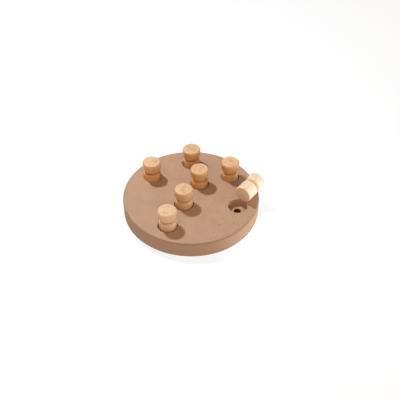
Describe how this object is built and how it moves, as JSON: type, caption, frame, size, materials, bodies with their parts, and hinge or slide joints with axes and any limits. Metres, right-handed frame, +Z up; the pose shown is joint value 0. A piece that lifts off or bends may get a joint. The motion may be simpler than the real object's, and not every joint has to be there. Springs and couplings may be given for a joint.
{
  "type": "wooden pet puzzle",
  "caption": "Thick round wooden board with stepped round recesses over treat pockets, covered by loose turned pegs that a dog or cat nudges or lifts out to reach food.",
  "frame": {"origin": "centre of the board's flat underside", "axes": "+Z up from the underside to the pegs; +Y runs along the line of the two inner recesses, away from the front peg; +X points to the side of the empty recess"},
  "size_m": [0.25, 0.25, 0.068],
  "materials": {
    "board_wood": "smooth sanded wood fibre board, matt, with slightly darker milled recesses",
    "peg_wood": "turned pale hardwood, satin, with growth rings on the flat ends"
  },
  "bodies": {
    "board": {"board": "board_wood"},
    "peg_left": {"peg_left": "peg_wood"},
    "peg_back_left": {"peg_back_left": "peg_wood"},
    "peg_back_right": {"peg_back_right": "peg_wood"},
    "peg_front": {"peg_front": "peg_wood"},
    "peg_inner_back": {"peg_inner_back": "peg_wood"},
    "peg_inner_front": {"peg_inner_front": "peg_wood"},
    "peg_loose": {"peg_loose": "peg_wood"}
  },
  "joints": [
    {"name": "lift_left", "type": "slide", "parent": "board", "child": "peg_left", "axis": [0, 0, 1], "range_m": [0, 0.06]},
    {"name": "lift_back_left", "type": "slide", "parent": "board", "child": "peg_back_left", "axis": [0, 0, 1], "range_m": [0, 0.06]},
    {"name": "lift_back_right", "type": "slide", "parent": "board", "child": "peg_back_right", "axis": [0, 0, 1], "range_m": [0, 0.06]},
    {"name": "lift_front", "type": "slide", "parent": "board", "child": "peg_front", "axis": [0, 0, 1], "range_m": [0, 0.06]},
    {"name": "lift_inner_back", "type": "slide", "parent": "board", "child": "peg_inner_back", "axis": [0, 0, 1], "range_m": [0, 0.06]},
    {"name": "lift_inner_front", "type": "slide", "parent": "board", "child": "peg_inner_front", "axis": [0, 0, 1], "range_m": [0, 0.06]},
    {"name": "lift_loose", "type": "slide", "parent": "board", "child": "peg_loose", "axis": [0, 0, 1], "range_m": [0, 0.06]}
  ]
}
